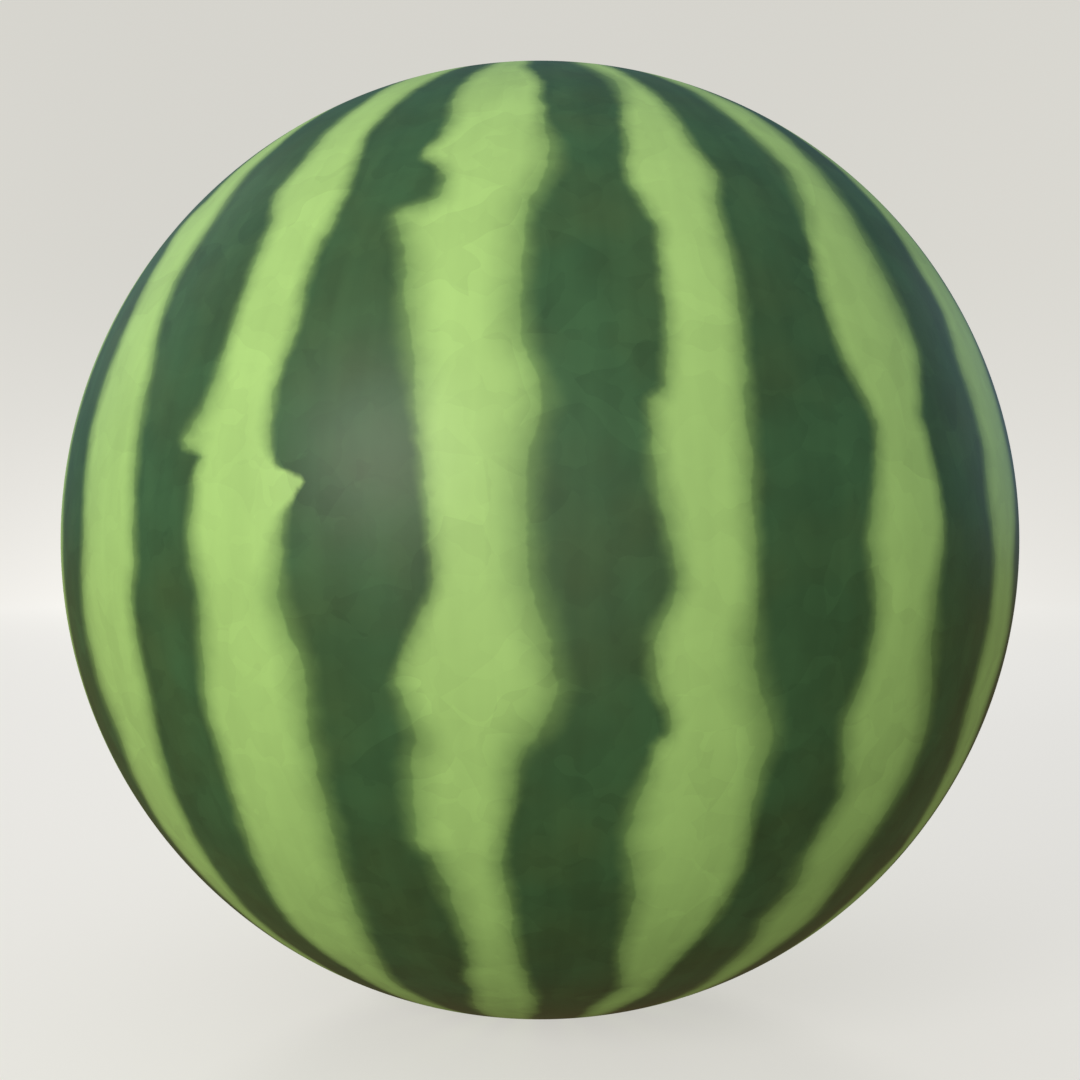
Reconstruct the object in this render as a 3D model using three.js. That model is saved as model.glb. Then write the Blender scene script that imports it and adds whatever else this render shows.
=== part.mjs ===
// A whole round watermelon standing on its blossom end, as one solid.
// Millimetres, +Z up along the stem axis. The origin is the centre of the flat spot that it rests on.
//
// The body is a ball. Its bottom is flattened into a small resting spot round the blossom scar, and its
// top sinks into a shallow stem basin, where the skin puckers in furrows round the corky scar that the
// broken stem left.

import * as THREE from "three";

// The body.
const BODY_RADIUS = 120;
const REST_SPOT_RADIUS = 20;
const CENTRE_HEIGHT = Math.sqrt(BODY_RADIUS ** 2 - REST_SPOT_RADIUS ** 2);

// The blossom scar, a dent in the middle of the resting spot with a nub where the flower's style dried.
const BLOSSOM_DENT_RADIUS = 8;
const BLOSSOM_DENT_DEPTH = 1.4;
const BLOSSOM_NUB_RADIUS = 2.5;
const BLOSSOM_NUB_HEIGHT = 0.9;

// The stem basin and the scar in it. Heights of the scar are above the floor of the basin.
const BASIN_RADIUS = 30;
const BASIN_DEPTH = 5;
const SCAR_FOOT_RADIUS = 7.6;
const SCAR_RIM_RADIUS = 5.6;
const SCAR_RIM_HEIGHT = 2.6;
const SCAR_PIT_RADIUS = 3.6;
const SCAR_PIT_HEIGHT = 1.3;

// The furrows that run out from the scar, deepest a little way up the side of the basin.
const FURROW_DEPTH = 0.9;
const FURROW_END_RADIUS = 38;
const FURROW_WAVES = [
  { count: 7, share: 0.5, turn: 0.6 },
  { count: 10, share: 0.35, turn: 2.1 },
  { count: 3, share: 0.15, turn: 4.0 },
];

// How finely the surface is divided.
const SIDES = 96;
const LOWER_STEPS = 15;
const UPPER_STEPS = 14;
const BASIN_STEPS = 9;
const DENT_STEPS = 6;

/** Eases from 1 at t = 0 to 0 at t = 1, level at both ends. */
const bell = (t) => (t >= 1 ? 0 : (1 + Math.cos(Math.PI * t)) / 2);

/** Height above the ground of the ball's upper half at a distance from the stem axis. */
const ballTop = (radius) => CENTRE_HEIGHT + Math.sqrt(BODY_RADIUS ** 2 - radius ** 2);

/** Height of the stem basin's skin at a distance from the stem axis. */
const basinTop = (radius) => ballTop(radius) - BASIN_DEPTH * bell(radius / BASIN_RADIUS);

/** The blossom scar and the flat spot, from the axis outwards, as points of (distance from axis, height). */
function blossomEnd() {
  const points = [];
  for (let step = 0; step < DENT_STEPS; step += 1) {
    const radius = (BLOSSOM_DENT_RADIUS * step) / DENT_STEPS;
    const dent = BLOSSOM_DENT_DEPTH * bell(radius / BLOSSOM_DENT_RADIUS);
    const nub = BLOSSOM_NUB_HEIGHT * bell(radius / BLOSSOM_NUB_RADIUS);
    points.push(new THREE.Vector2(radius, dent - nub));
  }
  points.push(new THREE.Vector2(BLOSSOM_DENT_RADIUS, 0));
  return points;
}

/** An arc of the ball's side, between two angles that are measured from straight down. */
function arc(from, to, steps) {
  const points = [];
  for (let step = 1; step <= steps; step += 1) {
    const angle = THREE.MathUtils.lerp(from, to, step / steps);
    const height = CENTRE_HEIGHT - BODY_RADIUS * Math.cos(angle);
    points.push(new THREE.Vector2(BODY_RADIUS * Math.sin(angle), height));
  }
  return points;
}

/** The ball's side, from the rim of the flat spot past the widest ring to the rim of the stem basin. */
function side() {
  const spotAngle = Math.asin(REST_SPOT_RADIUS / BODY_RADIUS);
  const basinAngle = Math.PI - Math.asin(BASIN_RADIUS / BODY_RADIUS);
  const spotRim = new THREE.Vector2(REST_SPOT_RADIUS, 0);
  return [
    spotRim,
    ...arc(spotAngle, Math.PI / 2, LOWER_STEPS),
    ...arc(Math.PI / 2, basinAngle, UPPER_STEPS),
  ];
}

/** The stem basin, from inside its rim to the foot of the scar. */
function basin() {
  const points = [];
  for (let step = 1; step <= BASIN_STEPS; step += 1) {
    const radius = THREE.MathUtils.lerp(BASIN_RADIUS, SCAR_FOOT_RADIUS, step / BASIN_STEPS);
    points.push(new THREE.Vector2(radius, basinTop(radius)));
  }
  return points;
}

/** The corky stem scar: up to its rim, then down into the pit in its middle, ending on the axis. */
function stemScar() {
  const floor = basinTop(0);
  const foot = basinTop(SCAR_FOOT_RADIUS);
  const shoulder = (SCAR_FOOT_RADIUS + SCAR_RIM_RADIUS) / 2;
  return [
    new THREE.Vector2(shoulder, (foot + floor + SCAR_RIM_HEIGHT) / 2),
    new THREE.Vector2(SCAR_RIM_RADIUS, floor + SCAR_RIM_HEIGHT),
    new THREE.Vector2(SCAR_PIT_RADIUS, floor + (SCAR_RIM_HEIGHT + SCAR_PIT_HEIGHT) / 2),
    new THREE.Vector2(SCAR_PIT_RADIUS / 2, floor + SCAR_PIT_HEIGHT),
    new THREE.Vector2(0, floor + SCAR_PIT_HEIGHT),
  ];
}

/** How far the skin sinks in a furrow, at an angle round the stem and a distance from it. */
function furrowDepth(angle, radius) {
  const start = SCAR_RIM_RADIUS;
  if (radius <= start || radius >= FURROW_END_RADIUS) return 0;
  const way = (radius - start) / (FURROW_END_RADIUS - start);
  const swell = Math.sin(Math.PI * Math.sqrt(way));
  const wave = FURROW_WAVES.reduce(
    (sum, { count, share, turn }) => sum + share * Math.cos(count * angle + turn),
    0,
  );
  return FURROW_DEPTH * swell * (0.5 + 0.5 * wave);
}

/** Presses the furrows into the skin round the stem scar. The lathe's axis is still Y here. */
function pressFurrows(geometry) {
  const position = geometry.getAttribute("position");
  for (let i = 0; i < position.count; i += 1) {
    if (position.getY(i) < CENTRE_HEIGHT) continue;
    const angle = Math.atan2(position.getX(i), position.getZ(i));
    const radius = Math.hypot(position.getX(i), position.getZ(i));
    position.setY(i, position.getY(i) - furrowDepth(angle, radius));
  }
}

/** The whole fruit: its profile from the blossom end to the stem scar, turned round the stem axis. */
function makeWatermelon() {
  const profile = [...blossomEnd(), ...side(), ...basin(), ...stemScar()];
  const geometry = new THREE.LatheGeometry(profile, SIDES);
  pressFurrows(geometry);
  geometry.rotateX(Math.PI / 2);
  geometry.computeVertexNormals();
  const skin = new THREE.MeshStandardMaterial({ color: "#4f7a3f", roughness: 0.45, metalness: 0 });
  const mesh = new THREE.Mesh(geometry, skin);
  mesh.name = "watermelon";
  return mesh;
}

const fruit = new THREE.Group();
fruit.add(makeWatermelon());

export default fruit;
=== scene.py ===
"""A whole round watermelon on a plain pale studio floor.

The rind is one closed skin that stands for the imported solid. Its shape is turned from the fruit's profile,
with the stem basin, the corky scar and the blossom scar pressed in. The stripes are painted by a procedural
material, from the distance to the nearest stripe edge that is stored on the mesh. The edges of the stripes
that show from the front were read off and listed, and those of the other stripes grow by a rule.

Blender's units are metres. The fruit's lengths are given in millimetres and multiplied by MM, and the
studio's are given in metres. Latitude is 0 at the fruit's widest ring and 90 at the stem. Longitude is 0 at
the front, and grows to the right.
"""

import logging
import math
import random
from dataclasses import astuple, dataclass
from enum import Enum

import bpy
import numpy as np
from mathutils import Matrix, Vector, noise

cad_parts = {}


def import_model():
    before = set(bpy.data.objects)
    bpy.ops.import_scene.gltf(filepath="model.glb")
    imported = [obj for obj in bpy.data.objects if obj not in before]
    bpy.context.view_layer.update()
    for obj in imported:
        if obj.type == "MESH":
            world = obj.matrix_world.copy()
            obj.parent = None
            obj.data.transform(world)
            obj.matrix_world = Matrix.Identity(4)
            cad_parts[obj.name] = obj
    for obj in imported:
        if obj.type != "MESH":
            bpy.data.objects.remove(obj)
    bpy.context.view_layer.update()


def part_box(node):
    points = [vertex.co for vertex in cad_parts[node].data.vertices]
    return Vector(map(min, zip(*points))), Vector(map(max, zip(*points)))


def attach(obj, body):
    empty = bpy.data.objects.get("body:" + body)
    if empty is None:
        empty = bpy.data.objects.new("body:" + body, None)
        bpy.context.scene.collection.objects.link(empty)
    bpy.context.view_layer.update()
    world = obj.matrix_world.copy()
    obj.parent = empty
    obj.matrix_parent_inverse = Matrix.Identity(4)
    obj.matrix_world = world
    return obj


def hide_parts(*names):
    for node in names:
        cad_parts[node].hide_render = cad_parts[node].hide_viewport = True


MM = 0.001
WELD_DISTANCE = 0.001 * MM
LOG = logging.getLogger("watermelon")

Tree = bpy.types.NodeTree
Socket = bpy.types.NodeSocket
Colour = tuple[float, float, float, float]

# Pairs of (latitude, value).
Points = tuple[tuple[float, float], ...]

# Pairs of (size in millimetres, weight).
Grains = tuple[tuple[float, float], ...]


# Small helpers.


def linear(hex_colour: str) -> Colour:
    """Turns an sRGB hex colour into the linear one that Blender's sockets take.

    Args:
        hex_colour: The colour as six hex digits, with or without a leading hash.

    Returns:
        Red, green, blue and an alpha of 1.
    """
    digits = hex_colour.lstrip("#")
    channels = [int(digits[i : i + 2], 16) / 255 for i in (0, 2, 4)]

    # The standard sRGB curve, with its straight foot.
    turned = [c / 12.92 if c <= 0.04045 else ((c + 0.055) / 1.055) ** 2.4 for c in channels]
    return (*turned, 1.0)


def add_node(tree: Tree, kind: str, inputs: dict | None = None, **settings) -> bpy.types.Node:
    """Adds a shader node, with its settings and links.

    Args:
        tree: The node tree that gets the node.
        kind: The node's type name.
        inputs: For each input, by name or number, the output that feeds it or the value that it holds.
        settings: The node's own properties, such as operation or blend_type.

    Returns:
        The new node.
    """
    node = tree.nodes.new(kind)
    for name, value in settings.items():
        setattr(node, name, value)
    for key, value in (inputs or {}).items():
        socket = node.inputs[key]
        if isinstance(value, Socket):
            tree.links.new(value, socket)
        else:
            socket.default_value = value
    return node


def deselect_all() -> None:
    """Deselects every object, so that an operator acts on the new one alone."""
    bpy.ops.object.select_all(action="DESELECT")


def bell(t: float) -> float:
    """Eases from 1 at t = 0 to 0 at t = 1, level at both ends."""
    return 0.0 if t >= 1 else (1 + math.cos(math.pi * t)) / 2


def turn_profile(name: str, profile: list[tuple[float, float]], sides: int) -> bpy.types.Object:
    """Extrudes a profile point by point and spins it round the Z axis.

    Args:
        name: The new object's name.
        profile: Points of (distance from the axis, height) in metres.
        sides: How many columns the full turn has.

    Returns:
        The turned object, smooth and with its faces pointing outwards.
    """
    deselect_all()
    bpy.ops.mesh.primitive_plane_add(size=MM, location=(0, 0, 0))
    piece = bpy.context.object
    piece.name = name
    piece.data.name = name
    bpy.ops.object.mode_set(mode="EDIT")
    bpy.ops.mesh.merge(type="CENTER")
    radius, height = profile[0]
    bpy.ops.transform.translate(value=(radius, 0, height))
    for (r0, z0), (r1, z1) in zip(profile, profile[1:]):
        bpy.ops.mesh.extrude_region_move(TRANSFORM_OT_translate={"value": (r1 - r0, 0, z1 - z0)})
    bpy.ops.mesh.select_all(action="SELECT")
    bpy.ops.mesh.spin(steps=sides, angle=math.tau, center=(0, 0, 0), axis=(0, 0, 1))
    bpy.ops.mesh.select_all(action="SELECT")
    bpy.ops.mesh.remove_doubles(threshold=WELD_DISTANCE)
    bpy.ops.mesh.normals_make_consistent(inside=False)
    bpy.ops.object.mode_set(mode="OBJECT")
    bpy.ops.object.shade_smooth()
    return piece


# The stripes.


class Grid:
    """The latitudes at which every stripe edge is worked out, in degrees.

    ROUNDING is how far each side of a corner it is rounded, and CAP is the latitude past which an edge runs
    straight to the end of the fruit.
    """

    STEP = 0.25
    LATITUDES = np.arange(-90, 90 + STEP, STEP)
    ROUNDING = 0.75
    CAP = 66.0


@dataclass(frozen=True)
class Edge:
    """One side of a pale stripe.

    Args:
        line: Points of (latitude, longitude) in degrees, from the stem end down.
        fade: Points of (latitude, millimetres). The more, the softer pale turns to dark. Below 0 is sharpest.
    """

    line: Points
    fade: Points

    @staticmethod
    def along(points: Points) -> np.ndarray:
        """Works out a value at every latitude of the grid, with the corners slightly rounded.

        Args:
            points: Points of (latitude, value).

        Returns:
            One value for each latitude of the grid.
        """
        ordered = sorted(points)
        values = np.interp(Grid.LATITUDES, [p[0] for p in ordered], [p[1] for p in ordered])
        half = round(Grid.ROUNDING / Grid.STEP)
        window = np.hanning(2 * half + 1)
        padded = np.pad(values, half, mode="edge")
        return np.convolve(padded, window / window.sum(), mode="valid")


@dataclass(frozen=True)
class Stripe:
    """A pale stripe between its left and right edges."""

    left: Edge
    right: Edge


SEEN_STRIPES = (
    Stripe(
        left=Edge(
            line=((66, -76.5), (40, -75), (20, -77), (0, -76), (-25, -77.5), (-50, -75), (-66, -76)),
            fade=((0, 4.0),),
        ),
        right=Edge(
            line=(
                (66, -66), (50, -65), (30, -64), (12, -65.8), (0, -65.2), (-20, -66.3), (-40, -65),
                (-66, -66.5),
            ),
            fade=((0, 4.0),),
        ),
    ),
    Stripe(
        left=Edge(
            line=(
                (66, -54), (50, -55), (45, -56.1), (42, -55.4), (40, -55), (38, -57.6), (35, -57.6),
                (32, -55.8), (25, -54.8), (20, -55), (12, -56), (5, -55), (0, -54.7), (-8, -56.2),
                (-15, -56.1), (-20, -54.6), (-22, -54.9), (-25, -56.4), (-33, -57.6), (-37, -56.9),
                (-45, -55), (-66, -52.5),
            ),
            fade=((45, 3.5), (0, 3.5), (-10, 7), (-20, 7), (-30, 3.5)),
        ),
        right=Edge(
            line=(
                (66, -48.5), (52, -47.2), (47, -46.2), (42, -46.7), (40, -45.9), (35, -45.1), (27, -45.8),
                (20, -44.6), (18, -43.9), (13, -43.5), (5, -43), (0, -42.6), (-2, -42.4), (-6, -43.7),
                (-14, -43.1), (-20, -44.2), (-24, -45.3), (-30, -46.1), (-38, -47.2), (-43, -48),
                (-48, -47.5), (-53, -45.6), (-66, -45),
            ),
            fade=((0, 3.5),),
        ),
    ),
    Stripe(
        left=Edge(
            line=(
                (66, -36.8), (60, -35.6), (55, -34), (47, -34.6), (42, -33.6), (37, -34.6), (35, -34.1),
                (32, -32.4), (25, -32.2), (20, -32.4), (15, -32.7), (12, -33.8), (9.2, -36.1), (8.5, -36.1),
                (7.8, -32.6), (6.4, -34.3), (5, -34.1), (0, -34.4), (-5, -33.1), (-10, -33.5),
                (-14, -34.4), (-17, -34.5), (-20, -34), (-25, -34.4), (-35, -36.1), (-43, -38),
                (-48, -37.2), (-52, -35.3), (-66, -34.4),
            ),
            fade=((45, 3.5), (33, 2), (20, 2), (14, 4), (9.2, 4), (8.2, 0), (7, 0.5), (5, 2.5), (0, 3)),
        ),
        right=Edge(
            line=(
                (66, -22), (60, -22.7), (55, -23.7), (50, -24.7), (45, -24.9), (40, -23.9), (35, -23.1),
                (30, -23.5), (27, -24.2), (20, -24.1), (15, -25), (10, -25.4), (7, -24.5), (5.9, -24),
                (5.8, -20.8), (5, -21.2), (2, -23.2), (-5, -24.1), (-8, -23), (-10, -21.8), (-20, -22.2),
                (-27, -22), (-30, -22.5), (-40, -23.4), (-45, -24.3), (-53, -26), (-55, -26), (-58, -25),
                (-66, -21.8),
            ),
            fade=(
                (60, 3.5), (45, 2), (9, 2.5), (6.5, -1.4), (4, -1.2), (1, 2.5), (-5, 6), (-45, 6),
                (-55, 3.5),
            ),
        ),
    ),
    Stripe(
        left=Edge(
            line=(
                (66, -13.5), (60, -13.8), (55, -14.3), (50, -13.9), (45.6, -12.6), (43, -13.2),
                (40, -14.8), (39.2, -14.4), (38, -12), (36, -11.2), (33.3, -11.5), (31.8, -15.8),
                (30, -14.8), (25, -13.4), (20, -12.6), (15, -11.4), (10, -10.8), (0, -9.4), (-3, -9.2),
                (-5, -9.6), (-10, -12.1), (-12.5, -12.9), (-15, -12), (-18, -11.3), (-20, -12.3),
                (-29, -12.8), (-30.2, -11.2), (-40, -10.1), (-43, -9.9), (-46, -10.2), (-50, -11.6),
                (-53, -11.4), (-56, -12.8), (-60, -14.5), (-66, -14.7),
            ),
            fade=(
                (60, 3.5), (44, 3.5), (41, 1.5), (38, 2), (34, 4), (32, 5), (15, 6), (10, 2), (-10, 2),
                (-18, 6), (-35, 6), (-45, 3.5),
            ),
        ),
        right=Edge(
            line=(
                (66, -2.5), (62, -3), (60, -2.1), (55, 0.5), (50, 0.2), (45, 0.5), (41, 1.6), (38, 1.6),
                (32, -1.4), (25, -1.6), (21, -2.1), (18, -1.6), (15, -0.5), (12, 0), (7, -0.9), (2, -1.1),
                (-3, -0.8), (-8, 0.6), (-13, 1.7), (-16, 0.4), (-18.5, -1.7), (-20, -2.4), (-25, -3),
                (-30, -4), (-32, -4), (-35, -3.4), (-45, -2.6), (-50, -2.1), (-55, -0.5), (-60, -0.9),
                (-66, -2.4),
            ),
            fade=((60, 2), (45, 2), (40, 7), (-15, 7), (-25, 3.5)),
        ),
    ),
    Stripe(
        left=Edge(
            line=(
                (66, 10.3), (62, 11.7), (57, 14), (55, 14), (50, 12.8), (45, 11.4), (37, 10.1), (35, 10.3),
                (30, 12.4), (27, 12.1), (20, 12), (15, 11.2), (13, 11), (12.4, 9.7), (5, 10), (0, 11.2),
                (-4, 12), (-8, 10), (-10, 9.7), (-13, 10.1), (-16, 12), (-17.5, 11.7), (-18, 10.8),
                (-20, 10.4), (-24, 9.3), (-28, 9.1), (-35, 10.4), (-45, 10.8), (-53, 13.6), (-60, 10.3),
                (-66, 11.5),
            ),
            fade=(
                (60, 7), (55, 7), (48, 2), (15, 2), (5, 3.5), (-10, 3), (-13, 2), (-20, 2), (-25, 6),
                (-35, 6), (-45, 3.5),
            ),
        ),
        right=Edge(
            line=(
                (66, 19.6), (60, 19.1), (55, 20.1), (50, 20.8), (42, 20.6), (38, 22), (34, 20.5), (30, 20),
                (25, 20.1), (15, 19.1), (5, 18.9), (-5, 19.2), (-11, 19.2), (-17, 21.9), (-19, 22),
                (-25, 22.1), (-33, 23.3), (-40, 22.7), (-48, 20.3), (-53, 20), (-55.5, 20.5), (-60, 18.6),
                (-66, 18),
            ),
            fade=((60, 3.5), (-5, 3.5), (-9, 7), (-20, 7), (-28, 3.5)),
        ),
    ),
    Stripe(
        left=Edge(
            line=(
                (66, 29), (60, 30.5), (57, 32.2), (52, 31.9), (45, 33.6), (40, 34.5), (35, 33), (30, 31.2),
                (25, 30), (22, 29.9), (17, 30.4), (11, 33.1), (8, 33.1), (0, 31.4), (-7, 32.8), (-12, 32.4),
                (-17, 30.7), (-25, 33.4), (-32, 31.5), (-36, 32.7), (-41, 30.8), (-46, 32.4), (-51, 31.8),
                (-56, 32.7), (-66, 31.5),
            ),
            fade=((50, 6), (35, 6), (30, 2), (15, 2), (0, 3.5), (-25, 3.5), (-35, 6), (-60, 6)),
        ),
        right=Edge(
            line=(
                (66, 40.2), (60, 41), (55, 44), (50, 43.8), (40, 42.6), (30, 41.6), (25, 41.9), (18, 42.4),
                (12, 40), (10, 40.8), (1.5, 42.6), (-5, 41.2), (-10, 41.7), (-19, 44.2), (-24, 44),
                (-35, 41.9), (-44, 43.3), (-50, 41.6), (-66, 41.3),
            ),
            fade=((55, 6), (25, 6), (15, 2), (0, 2), (-10, 6), (-60, 6)),
        ),
    ),
    Stripe(
        left=Edge(
            line=(
                (66, 51.5), (50, 52.2), (45, 53), (36, 53.4), (30, 52.4), (24, 53), (19, 51.4), (10, 52.8),
                (5, 52.2), (-3, 54), (-9, 54), (-17, 53), (-23, 55.1), (-35, 56.5), (-40, 53.6),
                (-45, 52.3), (-66, 53),
            ),
            fade=((0, 3.5),),
        ),
        right=Edge(
            line=(
                (66, 62.5), (40, 62.8), (30, 64.4), (24, 65.4), (17, 64), (5, 64.6), (-2, 62.8), (-10, 64.6),
                (-18, 62.8), (-26, 64.6), (-33, 63.6), (-38, 61.8), (-66, 62.5),
            ),
            fade=((40, 3.5), (20, 6), (-20, 6), (-35, 3.5)),
        ),
    ),
    Stripe(
        left=Edge(
            line=((66, 74), (45, 73), (25, 73.5), (5, 72.5), (-15, 73.5), (-35, 73), (-66, 74)),
            fade=((0, 4.0),),
        ),
        right=Edge(
            line=((66, 83), (40, 82), (20, 83.5), (0, 81.5), (-25, 83), (-45, 81.5), (-66, 83)),
            fade=((0, 4.0),),
        ),
    ),
)


@dataclass(frozen=True)
class StripeRule:
    """The rule by which the stripes grow that the front view doesn't show.

    Places, waves and steps are in degrees, and fades in millimetres.
    """

    # The middles of the first and last stripes, and how far each stripe may stand out of its even place.
    first: float = 98.5
    last: float = 268.0
    count: int = 9
    half_width: float = 5.3
    sway: float = 0.9

    # The waves of an edge. Each is a random share of the wobble high.
    wobble: float = 0.75
    least_wave: float = 0.5
    wave_periods: tuple[int, ...] = (41, 23, 13, 8)

    # The points of an edge, and how unevenly they follow each other.
    knot_spacing: float = 3.0
    knot_spread: tuple[float, float] = (0.8, 1.2)

    # The sudden steps of an edge. Each starts a little above its point and shrinks from point to point.
    step_size: float = 2.0
    least_step: float = 0.6
    step_chance: float = 0.07
    step_lead: float = 0.7
    step_decay: float = 0.55

    # The fades. Each holds round one of the latitudes, as far as the span to both sides.
    sharp_fade: float = 2.0
    soft_fade: float = 7.0
    fade_latitudes: tuple[int, ...] = (60, 30, 0, -30, -60)
    fade_span: float = 6

    seed: int = 12

    def edge(self, centre: float, side: int, chance: random.Random) -> Edge:
        """Grows one edge, as a wavy line with a sudden step here and there.

        Args:
            centre: The longitude round which the stripe sways.
            side: -1 for the left edge and 1 for the right one.
            chance: The stream of random numbers.

        Returns:
            The edge.
        """
        waves = [
            (self.wobble * chance.uniform(self.least_wave, 1), period, chance.uniform(0, math.tau))
            for period in self.wave_periods
        ]
        step = 0.0
        line = []
        latitude = Grid.CAP
        while latitude > -Grid.CAP:
            swing = sum(size * math.sin(math.tau * latitude / period + turn) for size, period, turn in waves)
            if chance.random() < self.step_chance:
                step = self.step_size * chance.choice((-1, 1)) * chance.uniform(self.least_step, 1)
                before = line[-1][1] if line else centre + side * self.half_width
                line.append((latitude + self.step_lead, before))
            line.append((latitude, centre + side * self.half_width + swing + step))
            step *= self.step_decay
            latitude -= self.knot_spacing * chance.uniform(*self.knot_spread)
        widths = (self.sharp_fade, (self.sharp_fade + self.soft_fade) / 2, self.soft_fade)
        fade = []
        for latitude in self.fade_latitudes:
            width = chance.choice(widths)
            fade += [(latitude + self.fade_span, width), (latitude - self.fade_span, width)]
        return Edge(line=tuple(line), fade=tuple(fade))

    def stripes(self) -> tuple[Stripe, ...]:
        """Grows all the stripes of the rule, from the right side of the front view round to its left.

        Returns:
            The stripes, the same ones each time.
        """
        chance = random.Random(self.seed)
        grown = []
        for i in range(self.count):
            centre = self.first + (self.last - self.first) * i / (self.count - 1)
            centre += chance.uniform(-1, 1) * self.sway
            grown.append(Stripe(left=self.edge(centre, -1, chance), right=self.edge(centre, 1, chance)))
        return tuple(grown)


@dataclass(frozen=True)
class StripeMap:
    """All the stripes of the fruit, ready to be measured against points of its skin.

    Args:
        stripes: The pale stripes.
        radius: The fruit's radius in millimetres.
        reach: How far to each side of an edge points are measured, in degrees.
        window: How far above and below a point the edge is searched, in degrees.
        far: What stands for the distance of a point out of reach, in millimetres.
        usual_fade: The fade at a point out of reach, in millimetres.
    """

    stripes: tuple[Stripe, ...]
    radius: float
    reach: float = 14.0
    window: float = 4.0
    far: float = 1000.0
    usual_fade: float = 3.5

    def measure(self, latitude: np.ndarray, longitude: np.ndarray) -> tuple[np.ndarray, np.ndarray]:
        """Measures how far points of the skin are from the nearest stripe edge.

        Args:
            latitude: The latitude of each point, in degrees.
            longitude: The longitude of each point, in degrees.

        Returns:
            The distance of each point to the nearest edge in millimetres, above 0 inside a pale stripe, and
            the fade there in millimetres.
        """
        distance = np.full(latitude.shape, self.far)
        fade = np.full(latitude.shape, self.usual_fade)
        inside = np.zeros(latitude.shape, bool)
        for stripe in self.stripes:
            left = Edge.along(stripe.left.line)
            right = Edge.along(stripe.right.line)
            middle = np.interp(latitude, Grid.LATITUDES, (left + right) / 2)
            width = np.interp(latitude, Grid.LATITUDES, right - left)
            inside |= np.abs(self.wrapped(longitude - middle)) < width / 2
            for edge, line in ((stripe.left, left), (stripe.right, right)):
                away = self.distance_to(line, latitude, longitude)
                width_here = np.interp(latitude, Grid.LATITUDES, Edge.along(edge.fade))
                nearer = away < distance
                distance[nearer] = away[nearer]
                fade[nearer] = width_here[nearer]
        return np.where(inside, distance, -distance), fade

    def distance_to(self, line: np.ndarray, latitude: np.ndarray, longitude: np.ndarray) -> np.ndarray:
        """Measures the distance from points of the skin to one edge.

        Args:
            line: The edge's longitude at each latitude of the grid.
            latitude: The latitude of each point, in degrees.
            longitude: The longitude of each point, in degrees.

        Returns:
            The distance of each point in millimetres.
        """
        result = np.full(latitude.shape, self.far)
        near = np.abs(self.wrapped(longitude - np.interp(latitude, Grid.LATITUDES, line))) < self.reach
        lat, lon = latitude[near], longitude[near]
        per_degree = math.radians(1) * self.radius
        across = per_degree * np.cos(np.radians(lat))
        row = np.round((lat + 90) / Grid.STEP).astype(int)
        best = np.full(lat.shape, self.far)
        span = round(self.window / Grid.STEP)
        for offset in range(-span, span):
            i = np.clip(row + offset, 0, len(line) - 2)
            x0 = self.wrapped(line[i] - lon) * across
            x1 = self.wrapped(line[i + 1] - lon) * across
            y0 = (Grid.LATITUDES[i] - lat) * per_degree
            y1 = (Grid.LATITUDES[i + 1] - lat) * per_degree
            dx, dy = x1 - x0, y1 - y0
            t = np.clip(-(x0 * dx + y0 * dy) / (dx * dx + dy * dy), 0, 1)
            best = np.minimum(best, np.hypot(x0 + t * dx, y0 + t * dy))
        result[near] = best
        return result

    @staticmethod
    def wrapped(angle: np.ndarray) -> np.ndarray:
        """Brings angles in degrees between -180 and 180."""
        return (angle + 180) % 360 - 180


# The finish.


class SkinLayer(Enum):
    """The values that are stored on the rind's mesh for its material."""

    DISTANCE = "edge_distance"
    FADE = "edge_fade"
    MERIDIAN = "meridian_place"


@dataclass(frozen=True)
class Mottling:
    """How much each unevenness lightens and darkens one of the greens, as a share of its brightness."""

    large_patches: float
    small_patches: float
    blotches: float
    broad_shades: float
    streaks: float


@dataclass(frozen=True)
class ScarRings:
    """The outer radii of the coloured rings at one end of the fruit, in millimetres."""

    halo: float
    cork: float
    pit: float


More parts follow.
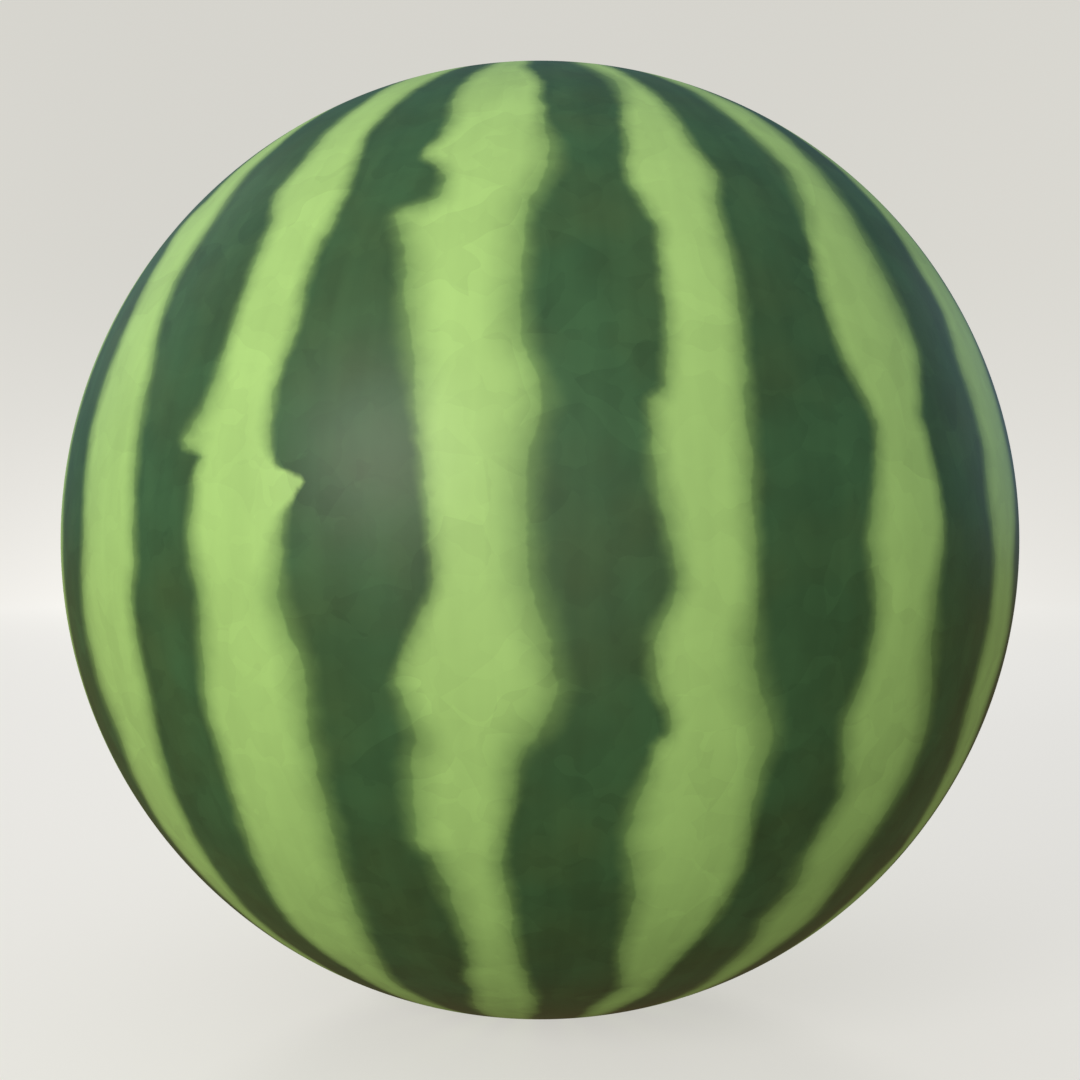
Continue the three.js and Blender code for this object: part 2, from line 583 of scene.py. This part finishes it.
@dataclass(frozen=True)
class WaxyRind:
    """The waxy skin of a ripe striped watermelon, pale and dark green, with a corky scar at each end.

    Sizes are in millimetres.
    """

    # The greens, and the browns of the scars.
    pale: str = "#aed37a"
    half_tone: str = "#729353"
    dark: str = "#3d603b"
    olive: str = "#415c36"
    halo: str = "#c3cf86"
    cork: str = "#b59a6c"
    pit: str = "#6f5638"

    # The thin wax: a dull gloss, slightly warm.
    roughness: float = 0.43
    specular: float = 0.40
    gloss_tint: str = "#fffcf1"
    ior: float = 1.45

    # How wide a fade is on the pale and on the dark side of an edge: a least width, and a share of the
    # edge's own fade. A little of the edge stays crisp, within a narrow range of its ragged distance.
    fade_inside: tuple[float, float] = (2.1, 1.0)
    fade_outside: tuple[float, float] = (0.9, 0.62)
    least_fade: float = 0.45
    crispness: float = 0.14
    crisp_range: float = 0.3

    # What makes the edges ragged, their fades uneven and their crisp part wander.
    ragged_grains: Grains = ((6, 1.6), (2.2, 0.9))
    uneven_grain: Grains = ((24, 1.1),)
    wander_grain: Grains = ((17, 5.0),)

    # Where the dark green turns olive.
    olive_size: float = 19
    olive_range: tuple[float, float] = (-0.12, 0.2)

    # The patches, blotches and streaks. A streak is about 5 mm wide and 40 mm long on the widest ring.
    large_patch: float = 15
    small_patch: float = 6
    blotch: float = 11
    broad_shade: float = 45
    streak_scale: tuple[float, float, float] = (0.022, 0.022, 0.0045)
    on_pale: Mottling = Mottling(0.09, 0.06, 0.10, 0.08, 0.14)
    on_dark: Mottling = Mottling(0.16, 0.13, 0.35, 0.15, 0.35)

    # The scars at the two ends, with wavy rings. The stem half of the fruit starts at middle_height.
    stem_rings: ScarRings = ScarRings(17.0, 7.2, 3.0)
    blossom_rings: ScarRings = ScarRings(13.0, 4.5, 1.6)
    cork_band: float = 1
    pit_band: float = 1.5
    ring_wave: Grains = ((5, 4 * MM),)
    middle_height: float = 118

    # The very faint unevenness of the wax.
    relief_grains: Grains = ((1.4, 0.3), (9, 1.0))
    relief_strength: float = 0.25
    relief_height: float = 0.25

    def material(self) -> bpy.types.Material:
        """Makes the material.

        Returns:
            The material, which reads the rind's own stored values and Object coordinates.
        """
        # Two greens that melt into each other under a thin wax, so the highlight is broad and dull.
        skin = bpy.data.materials.new("waxy_striped_rind")
        skin.use_nodes = True
        tree = skin.node_tree
        tree.nodes.clear()
        place = add_node(tree, "ShaderNodeTexCoord").outputs["Object"]
        share = self.stripe_share(tree, place)
        colour = self.painted(tree, place, share)
        colour = self.scarred(tree, place, colour)
        shader = add_node(
            tree,
            "ShaderNodeBsdfPrincipled",
            {
                "Base Color": colour,
                "Roughness": self.roughness,
                "Specular IOR Level": self.specular,
                "Specular Tint": linear(self.gloss_tint),
                "IOR": self.ior,
                "Normal": self.wax_relief(tree, place),
            },
        )
        add_node(tree, "ShaderNodeOutputMaterial", {"Surface": shader.outputs["BSDF"]})
        return skin

    @staticmethod
    def grain(tree: Tree, place: Socket, size: float) -> Socket:
        """Adds soft noise round zero.

        Args:
            tree: The material's node tree.
            place: The coordinates that the noise reads, in metres.
            size: The size of its blotches in millimetres.

        Returns:
            A value that is mostly between -0.5 and 0.5.
        """
        soft = add_node(
            tree, "ShaderNodeTexNoise", {"Vector": place, "Scale": 1 / (size * MM), "Detail": 2.0}
        ).outputs["Fac"]
        return add_node(tree, "ShaderNodeMath", {0: soft, 1: 0.5}, operation="SUBTRACT").outputs[0]

    def grain_terms(self, tree: Tree, place: Socket, grains: Grains) -> list[tuple[Socket, float]]:
        """Adds soft noise of several sizes, each with its weight."""
        return [(self.grain(tree, place, size), weight) for size, weight in grains]

    @staticmethod
    def scaled_sum(tree: Tree, terms: list[tuple[Socket, float]], start: float | Socket) -> Socket:
        """Adds up several values, each times its own weight.

        Args:
            tree: The material's node tree.
            terms: Pairs of a value and its weight.
            start: What the sum starts from.

        Returns:
            The sum.
        """
        total = start
        for value, weight in terms:
            total = add_node(
                tree, "ShaderNodeMath", {0: value, 1: weight, 2: total}, operation="MULTIPLY_ADD"
            ).outputs[0]
        return total

    def stripe_share(self, tree: Tree, place: Socket) -> Socket:
        """Works out how pale the skin is, with ragged edges that fade more in some places than in others.

        Args:
            tree: The material's node tree.
            place: Object coordinates.

        Returns:
            0 in a dark stripe and 1 in a pale one.
        """
        distance = add_node(tree, "ShaderNodeAttribute", attribute_name=SkinLayer.DISTANCE.value)
        stored_fade = add_node(tree, "ShaderNodeAttribute", attribute_name=SkinLayer.FADE.value)
        grains = self.grain_terms(tree, place, self.ragged_grains)
        ragged = self.scaled_sum(tree, [*grains, (distance.outputs["Fac"], 1.0)], 0.0)
        uneven = self.scaled_sum(tree, self.grain_terms(tree, place, self.uneven_grain), 1.0)
        fade = add_node(
            tree, "ShaderNodeMath", {0: stored_fade.outputs["Fac"], 1: uneven}, operation="MULTIPLY"
        ).outputs[0]
        sides = []
        for limit, (least, per_fade) in (("MAXIMUM", self.fade_inside), ("MINIMUM", self.fade_outside)):
            part = add_node(tree, "ShaderNodeMath", {0: ragged, 1: 0.0}, operation=limit)
            own_width = self.scaled_sum(tree, [(fade, per_fade)], least)
            width = add_node(tree, "ShaderNodeMath", {0: own_width, 1: self.least_fade}, operation="MAXIMUM")
            side = add_node(
                tree, "ShaderNodeMath", {0: part.outputs[0], 1: width.outputs[0]}, operation="DIVIDE"
            )
            sides.append((side.outputs[0], 1.0))
        share = self.scaled_sum(tree, sides, 0.0)
        soft = add_node(
            tree,
            "ShaderNodeMapRange",
            {"Value": share, "From Min": -1.0, "From Max": 1.0},
            interpolation_type="SMOOTHSTEP",
        ).outputs[0]
        wandering = self.grain_terms(tree, place, self.wander_grain)
        wander = self.scaled_sum(tree, [*wandering, (ragged, 1.0)], 0.0)
        crisp = add_node(
            tree,
            "ShaderNodeMapRange",
            {"Value": wander, "From Min": -self.crisp_range, "From Max": self.crisp_range},
        ).outputs[0]
        stepped = self.scaled_sum(tree, [(crisp, self.crispness), (soft, 1 - self.crispness)], 0.0)
        return add_node(tree, "ShaderNodeClamp", {"Value": stepped}).outputs[0]

    @staticmethod
    def brushwork(tree: Tree, place: Socket, size: float) -> Socket:
        """Adds irregular patches with crisp outlines, like dabs of thin colour laid over each other.

        Args:
            tree: The material's node tree.
            place: Object coordinates.
            size: The size of a patch in millimetres.

        Returns:
            A value between -0.5 and 0.5 that is the same all over a patch.
        """
        scale = 1 / (size * MM)
        warp = add_node(tree, "ShaderNodeTexNoise", {"Vector": place, "Scale": scale, "Detail": 1.0})
        centred = add_node(
            tree,
            "ShaderNodeVectorMath",
            {0: warp.outputs["Color"], 1: (0.5, 0.5, 0.5)},
            operation="SUBTRACT",
        )
        bent = add_node(
            tree,
            "ShaderNodeVectorMath",
            {0: centred.outputs[0], 1: (size * MM,) * 3, 2: place},
            operation="MULTIPLY_ADD",
        )
        cells = add_node(tree, "ShaderNodeTexVoronoi", {"Vector": bent.outputs[0], "Scale": scale})
        channel = add_node(tree, "ShaderNodeSeparateColor", {0: cells.outputs["Color"]}).outputs[0]
        return add_node(tree, "ShaderNodeMath", {0: channel, 1: 0.5}, operation="SUBTRACT").outputs[0]

    def painted(self, tree: Tree, place: Socket, share: Socket) -> Socket:
        """Paints the stripes, with their patches, blotches and the streaks that run along them.

        Args:
            tree: The material's node tree.
            place: Object coordinates.
            share: How pale the skin is.

        Returns:
            The colour of the skin away from the scars.
        """
        green, olive = self.olive_range
        hue = add_node(
            tree,
            "ShaderNodeMapRange",
            {"Value": self.grain(tree, place, self.olive_size), "From Min": green, "From Max": olive},
        )
        colour = add_node(
            tree,
            "ShaderNodeMix",
            {"Factor": hue.outputs[0], "A": linear(self.dark), "B": linear(self.olive)},
            data_type="RGBA",
        ).outputs["Result"]
        for tint, start, end in ((self.half_tone, 0.0, 0.5), (self.pale, 0.5, 1.0)):
            much = add_node(tree, "ShaderNodeMapRange", {"Value": share, "From Min": start, "From Max": end})
            colour = add_node(
                tree,
                "ShaderNodeMix",
                {"Factor": much.outputs[0], "A": colour, "B": linear(tint)},
                data_type="RGBA",
            ).outputs["Result"]
        meridian = add_node(tree, "ShaderNodeAttribute", attribute_name=SkinLayer.MERIDIAN.value)
        stretched = add_node(
            tree,
            "ShaderNodeVectorMath",
            {0: meridian.outputs["Vector"], 1: self.streak_scale},
            operation="MULTIPLY",
        )
        patterns = (
            self.brushwork(tree, place, self.large_patch),
            self.brushwork(tree, place, self.small_patch),
            self.grain(tree, place, self.blotch),
            self.grain(tree, place, self.broad_shade),
            self.grain(tree, stretched.outputs[0], 1.0),
        )
        on_pale = self.scaled_sum(tree, list(zip(patterns, astuple(self.on_pale))), 1.0)
        on_dark = self.scaled_sum(tree, list(zip(patterns, astuple(self.on_dark))), 1.0)
        tone = add_node(tree, "ShaderNodeMix", {"Factor": share, "A": on_dark, "B": on_pale})
        return add_node(
            tree, "ShaderNodeVectorMath", {0: colour, "Scale": tone.outputs["Result"]}, operation="SCALE"
        ).outputs[0]

    def scarred(self, tree: Tree, place: Socket, colour: Socket) -> Socket:
        """Adds the pale halo and the tan cork at the stem end and at the blossom end.

        Args:
            tree: The material's node tree.
            place: Object coordinates.
            colour: The colour of the stripes.

        Returns:
            The colour of the whole skin.
        """
        axes = add_node(tree, "ShaderNodeSeparateXYZ", {0: place}).outputs
        flat = add_node(tree, "ShaderNodeCombineXYZ", {"X": axes["X"], "Y": axes["Y"]})
        ring = add_node(tree, "ShaderNodeVectorMath", {0: flat.outputs[0]}, operation="LENGTH")
        wavy = self.scaled_sum(tree, self.grain_terms(tree, place, self.ring_wave), ring.outputs["Value"])
        top = add_node(
            tree, "ShaderNodeMath", {0: axes["Z"], 1: self.middle_height * MM}, operation="GREATER_THAN"
        ).outputs[0]
        bottom = add_node(tree, "ShaderNodeMath", {0: 1.0, 1: top}, operation="SUBTRACT").outputs[0]
        for here, rings in ((top, self.stem_rings), (bottom, self.blossom_rings)):
            bands = (
                (self.halo, rings.cork, rings.halo),
                (self.cork, rings.cork - self.cork_band, rings.cork),
                (self.pit, rings.pit - self.pit_band, rings.pit),
            )
            for tint, inner, outer in bands:
                full, none = inner * MM, outer * MM
                near = add_node(
                    tree,
                    "ShaderNodeMapRange",
                    {"Value": wavy, "From Min": full, "From Max": none, "To Min": 1.0, "To Max": 0.0},
                    interpolation_type="SMOOTHSTEP",
                )
                much = add_node(tree, "ShaderNodeMath", {0: near.outputs[0], 1: here}, operation="MULTIPLY")
                colour = add_node(
                    tree,
                    "ShaderNodeMix",
                    {"Factor": much.outputs[0], "A": colour, "B": linear(tint)},
                    data_type="RGBA",
                ).outputs["Result"]
        return colour

    def wax_relief(self, tree: Tree, place: Socket) -> Socket:
        """Adds the very faint unevenness of the waxy skin, which softens the gloss.

        Args:
            tree: The material's node tree.
            place: Object coordinates.

        Returns:
            The skin's normal.
        """
        height = self.scaled_sum(tree, self.grain_terms(tree, place, self.relief_grains), 0.0)
        return add_node(
            tree,
            "ShaderNodeBump",
            {"Height": height, "Strength": self.relief_strength, "Distance": self.relief_height * MM},
        ).outputs["Normal"]


# The fruit.


@dataclass(frozen=True)
class Furrow:
    """One wave of the furrows round the stem scar."""

    count: int
    share: float
    turn: float


@dataclass
class Rind:
    """The fruit's whole skin: the ball, its resting spot, the blossom scar, the stem basin and its scar.

    Sizes are in millimetres.
    """

    # The ball, and the flat spot that it rests on.
    radius: float
    rest_spot: float = 20

    # The blossom scar, a dent with a nub in its middle.
    dent_radius: float = 8
    dent_depth: float = 1.4
    nub_radius: float = 2.5
    nub_height: float = 0.9

    # The stem basin and the corky scar in it. Heights of the scar are above the floor of the basin.
    basin_radius: float = 30
    basin_depth: float = 5
    scar_foot: float = 7.6
    scar_rim: float = 5.6
    scar_rim_height: float = 2.6
    scar_pit: float = 3.6
    scar_pit_height: float = 1.3
    lump_size: float = 2.4
    lump_depth: float = 0.9
    crack_size: float = 0.9
    crack_depth: float = 0.5

    # The furrows that run out from the stem scar.
    furrow_depth: float = 0.9
    furrow_end: float = 38
    furrows: tuple[Furrow, ...] = (Furrow(7, 0.5, 0.6), Furrow(10, 0.35, 2.1), Furrow(3, 0.15, 4.0))

    # How finely the skin is divided, from the blossom end up.
    sides: int = 400
    dent_rows: int = 10
    spot_rows: int = 6
    lower_rows: int = 96
    upper_rows: int = 89
    basin_rows: int = 19
    scar_rows: int = 18

    # How narrow a fade may get, as a share of its width, where the stripes narrow towards the two ends.
    least_squeeze: float = 0.15

    @property
    def centre(self) -> float:
        """The height of the ball's centre above the floor."""
        return math.sqrt(self.radius**2 - self.rest_spot**2)

    def skin_height(self, radius: float) -> float:
        """Height of the skin of the stem basin at a distance from the axis."""
        ball = self.centre + math.sqrt(self.radius**2 - radius**2)
        return ball - self.basin_depth * bell(radius / self.basin_radius)

    def profile(self) -> list[tuple[float, float]]:
        """Lays out the outline from the blossom scar up the side to the middle of the stem scar.

        Returns:
            Points of (distance from the axis, height) in metres.
        """
        points = []
        for i in range(self.dent_rows + 1):
            radius = self.dent_radius * i / self.dent_rows
            dent = self.dent_depth * bell(radius / self.dent_radius)
            nub = self.nub_height * bell(radius / self.nub_radius)
            points.append((radius, dent - nub))
        flat = np.linspace(self.dent_radius, self.rest_spot, self.spot_rows + 1)[1:]
        points += [(radius, 0.0) for radius in flat]
        low = math.asin(self.rest_spot / self.radius)
        high = math.pi - math.asin(self.basin_radius / self.radius)
        lower = np.linspace(low, math.pi / 2, self.lower_rows + 1)[1:]
        upper = np.linspace(math.pi / 2, high, self.upper_rows + 1)[1:]
        for angle in (*lower, *upper):
            points.append((self.radius * math.sin(angle), self.centre - self.radius * math.cos(angle)))
        radii = np.linspace(self.basin_radius, self.scar_foot, self.basin_rows + 1)[1:]
        points += [(radius, self.skin_height(radius)) for radius in radii]
        points += self.scar_profile()
        return [(radius * MM, height * MM) for radius, height in points]

    def scar_profile(self) -> list[tuple[float, float]]:
        """Lays out the corky scar, from its foot over its rim into its pit.

        Returns:
            Points of (distance from the axis, height) in millimetres.
        """
        floor = self.skin_height(0)
        foot = self.skin_height(self.scar_foot)
        shoulder = (self.scar_foot + self.scar_rim) / 2
        corners = (
            (0, floor + self.scar_pit_height),
            (self.scar_pit / 2, floor + self.scar_pit_height),
            (self.scar_pit, floor + (self.scar_rim_height + self.scar_pit_height) / 2),
            (self.scar_rim, floor + self.scar_rim_height),
            (shoulder, (foot + floor + self.scar_rim_height) / 2),
            (self.scar_foot, foot),
        )
        radii = np.linspace(self.scar_foot, 0, self.scar_rows + 1)[1:]
        heights = np.interp(radii, [r for r, _ in corners], [z for _, z in corners])
        return list(zip(radii, heights))

    def furrow(self, angle: float, radius: float) -> float:
        """Works out how far the skin sinks in a furrow.

        Args:
            angle: The angle round the stem, in radians.
            radius: The distance from the axis, in millimetres.

        Returns:
            The depth in millimetres.
        """
        if radius <= self.scar_rim or radius >= self.furrow_end:
            return 0.0
        way = (radius - self.scar_rim) / (self.furrow_end - self.scar_rim)
        swell = math.sin(math.pi * math.sqrt(way))
        wave = sum(f.share * math.cos(f.count * angle + f.turn) for f in self.furrows)
        return self.furrow_depth * swell * (0.5 + 0.5 * wave)

    def press_furrows(self, piece: bpy.types.Object) -> None:
        """Presses the furrows into the skin round the stem scar.

        Args:
            piece: The turned skin.
        """
        for vertex in piece.data.vertices:
            if vertex.co.z < self.centre * MM:
                continue
            radius = math.hypot(vertex.co.x, vertex.co.y) / MM
            angle = math.atan2(vertex.co.x, -vertex.co.y)
            vertex.co.z -= self.furrow(angle, radius) * MM

    def roughen_scar(self, piece: bpy.types.Object) -> None:
        """Sinks lumps and small cracks into the cork of the stem scar, deepest in its middle.

        Args:
            piece: The turned skin.
        """
        for vertex in piece.data.vertices:
            radius = math.hypot(vertex.co.x, vertex.co.y) / MM
            if vertex.co.z < self.centre * MM or radius > self.scar_foot:
                continue
            share = bell(radius / self.scar_foot) ** 0.5
            lumps = noise.noise(vertex.co / (self.lump_size * MM))
            cracks = noise.noise(vertex.co / (self.crack_size * MM))
            sunk = self.lump_depth * (0.5 + 0.5 * lumps) + self.crack_depth * max(0.0, cracks)
            vertex.co.z -= share * sunk * MM

    def store_stripes(self, piece: bpy.types.Object) -> None:
        """Stores on the mesh how far each point is from the nearest stripe edge, and where it is.

        Args:
            piece: The finished skin.
        """
        mesh = piece.data
        places = np.empty(len(mesh.vertices) * 3)
        mesh.vertices.foreach_get("co", places)
        x, y, z = places.reshape(-1, 3).T / MM
        ring = np.hypot(x, y)
        latitude = np.degrees(np.arctan2(z - self.centre, ring))
        longitude = np.degrees(np.arctan2(x, -y))
        stripes = StripeMap(stripes=SEEN_STRIPES + StripeRule().stripes(), radius=self.radius)
        distance, fade = stripes.measure(latitude, longitude)
        squeeze = np.cos(np.radians(latitude)).clip(self.least_squeeze, 1)
        around = np.radians(longitude)
        meridian = np.stack([np.sin(around), -np.cos(around), latitude / 90], -1)
        stored = (
            (SkinLayer.DISTANCE, "FLOAT", "value", distance),
            (SkinLayer.FADE, "FLOAT", "value", fade * squeeze),
            (SkinLayer.MERIDIAN, "FLOAT_VECTOR", "vector", meridian.ravel()),
        )
        for layer, kind, name, values in stored:
            attribute = mesh.attributes.new(layer.value, kind, "POINT")
            attribute.data.foreach_set(name, values.astype(np.float32))

    def build(self) -> bpy.types.Object:
        """Builds and dresses the skin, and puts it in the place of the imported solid.

        Returns:
            The finished piece.
        """
        piece = turn_profile("rind", self.profile(), self.sides)
        self.press_furrows(piece)
        self.roughen_scar(piece)
        self.store_stripes(piece)
        piece.data.materials.append(WaxyRind().material())
        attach(piece, "root")
        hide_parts("watermelon")
        return piece


# The studio.


@dataclass(frozen=True)
class SoftLight:
    """A round soft light that points at the fruit.

    Args:
        name: The light's name.
        direction: The direction in which it stands, seen from the fruit.
        distance: How far away it stands, in metres.
        size: Its diameter in metres.
        power: Its power in watts.
        colour: Its hex colour.
    """

    name: str
    direction: tuple[float, float, float]
    distance: float
    size: float
    power: float
    colour: str

    def add(self, middle: Vector) -> None:
        """Adds the light to the scene.

        Args:
            middle: The point that it shines at.
        """
        deselect_all()
        place = middle + Vector(self.direction).normalized() * self.distance
        bpy.ops.object.light_add(type="AREA", location=place)
        light = bpy.context.object
        light.name = self.name
        light.data.shape = "DISK"
        light.data.size = self.size
        light.data.energy = self.power
        light.data.color = linear(self.colour)[:3]
        light.rotation_euler = (middle - place).to_track_quat("-Z", "Y").to_euler()


@dataclass(frozen=True)
class Studio:
    """The floor, the lights and the camera, in metres."""

    # The floor and the wall that it bends up into, as one sheet of matt paper.
    floor_radius: float = 2.2
    bend_radius: float = 0.8
    wall_height: float = 3.0
    bend_rows: int = 12
    sides: int = 96
    floor_colour: str = "#9b9995"
    floor_roughness: float = 0.9
    floor_glow: float = 1.7

    # The camera, with its lens and sensor in millimetres.
    camera_distance: float = 0.36
    nearest_seen: float = 0.01
    focal_length: float = 45.2
    sensor_width: float = 36

    # The air: its light from straight below, from level and from straight above.
    air_below: Colour = (0.14, 0.165, 0.10, 1)
    air_level: Colour = (0.19, 0.215, 0.17, 1)
    air_above: Colour = (0.52, 0.54, 0.59, 1)

    # What the gloss of the skin mirrors: brown below and blue above, which meet near level. The places are
    # heights of a direction, from 0 straight down to 1 straight up.
    sheen_below: Colour = (0.18, 0.115, 0.06, 1)
    sheen_above: Colour = (0.12, 0.20, 0.27, 1)
    brown_ends: float = 0.47
    blue_starts: float = 0.53

    # A key up on the left in front, a broad weak fill, two weak lights for the sheens near the limbs, and one
    # for the far side.
    lights: tuple[SoftLight, ...] = (
        SoftLight("key", (-0.538, -0.789, 0.298), 1.1, 0.46, 5.6, "#fffdfa"),
        SoftLight("front_fill", (-0.05, -0.98, 0.0), 3.2, 3.8, 28.0, "#fffdfd"),
        SoftLight("left_sheen", (-0.74, 0.42, 0.53), 1.2, 0.9, 0.55, "#f2f6ff"),
        SoftLight("rim", (0.80, 0.55, 0.25), 1.2, 0.7, 0.45, "#c4d8ff"),
        SoftLight("back", (-0.06, 0.97, 0.22), 3.2, 0.58, 33.0, "#fffdfa"),
    )

    def build(self, centre: float) -> None:
        """Sets up the whole studio round the fruit.

        Args:
            centre: The height of the fruit's centre in metres.
        """
        self.add_sweep()
        self.add_world()
        for light in self.lights:
            light.add(Vector((0, 0, centre)))
        self.add_camera(centre)
        bpy.context.scene.view_settings.view_transform = "Standard"

    def add_sweep(self) -> None:
        """Adds the floor, which bends up into a wall all round."""
        profile = [(0, 0), (self.floor_radius / 2, 0)]
        for turn in np.linspace(0, math.pi / 2, self.bend_rows + 1):
            outwards = self.floor_radius + self.bend_radius * math.sin(turn)
            profile.append((outwards, self.bend_radius * (1 - math.cos(turn))))
        profile.append((self.floor_radius + self.bend_radius, self.wall_height))
        sweep = turn_profile("studio_sweep", profile, self.sides)

        # Dull paper with a faint glow of its own, so the floor is even and pale and the shadow on it soft.
        paper = bpy.data.materials.new("matt_studio_paper")
        paper.use_nodes = True
        shader = paper.node_tree.nodes["Principled BSDF"]
        shader.inputs["Base Color"].default_value = linear(self.floor_colour)
        shader.inputs["Roughness"].default_value = self.floor_roughness
        shader.inputs["Emission Color"].default_value = linear(self.floor_colour)
        shader.inputs["Emission Strength"].default_value = self.floor_glow
        sweep.data.materials.append(paper)

        # The fruit's skin neither mirrors the paper nor is lit by it, and lights outside it shine through.
        sweep.visible_diffuse = False
        sweep.visible_glossy = False
        sweep.visible_shadow = False

    def add_world(self) -> None:
        """Adds the light from all round: cool and bright from above, and dim and greenish from below."""
        world = bpy.data.worlds.new("soft_studio_air")
        bpy.context.scene.world = world
        world.use_nodes = True
        world.cycles.sampling_method = "NONE"
        tree = world.node_tree
        tree.nodes.clear()
        direction = add_node(tree, "ShaderNodeTexCoord").outputs["Generated"]
        height = add_node(tree, "ShaderNodeSeparateXYZ", {0: direction}).outputs["Z"]
        share = add_node(tree, "ShaderNodeMapRange", {"Value": height, "From Min": -1.0, "From Max": 1.0})
        lit = add_node(tree, "ShaderNodeValToRGB", {0: share.outputs[0]})
        lit.color_ramp.elements[0].color = self.air_below
        lit.color_ramp.elements[1].color = self.air_above
        lit.color_ramp.elements.new(0.5).color = self.air_level
        seen = add_node(tree, "ShaderNodeValToRGB", {0: share.outputs[0]})
        seen.color_ramp.elements[0].position = self.brown_ends
        seen.color_ramp.elements[0].color = self.sheen_below
        seen.color_ramp.elements[1].position = self.blue_starts
        seen.color_ramp.elements[1].color = self.sheen_above
        glossy = add_node(tree, "ShaderNodeLightPath").outputs["Is Glossy Ray"]
        air = add_node(
            tree,
            "ShaderNodeMix",
            {"Factor": glossy, "A": lit.outputs["Color"], "B": seen.outputs["Color"]},
            data_type="RGBA",
        )
        background = add_node(tree, "ShaderNodeBackground", {"Color": air.outputs["Result"], "Strength": 1.0})
        add_node(tree, "ShaderNodeOutputWorld", {"Surface": background.outputs[0]})

    def add_camera(self, centre: float) -> None:
        """Adds the camera, level with the fruit's centre in front of it.

        Args:
            centre: The height of the fruit's centre in metres.
        """
        deselect_all()
        place = (0, -self.camera_distance, centre)
        bpy.ops.object.camera_add(location=place, rotation=(math.pi / 2, 0, 0))
        camera = bpy.context.object
        camera.data.sensor_width = self.sensor_width
        camera.data.lens = self.focal_length
        camera.data.clip_start = self.nearest_seen
        bpy.context.scene.camera = camera


def main() -> None:
    """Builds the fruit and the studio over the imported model."""
    logging.basicConfig(level=logging.INFO, format="%(name)s: %(message)s")
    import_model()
    low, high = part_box("watermelon")
    rind = Rind(radius=(high.x - low.x) / 2 / MM)
    piece = rind.build()
    LOG.info("%s: %d vertices, %d faces", piece.name, len(piece.data.vertices), len(piece.data.polygons))
    Studio().build(rind.centre * MM)
    LOG.info("studio: floor, lights and camera")


if __name__ == "__main__":
    main()
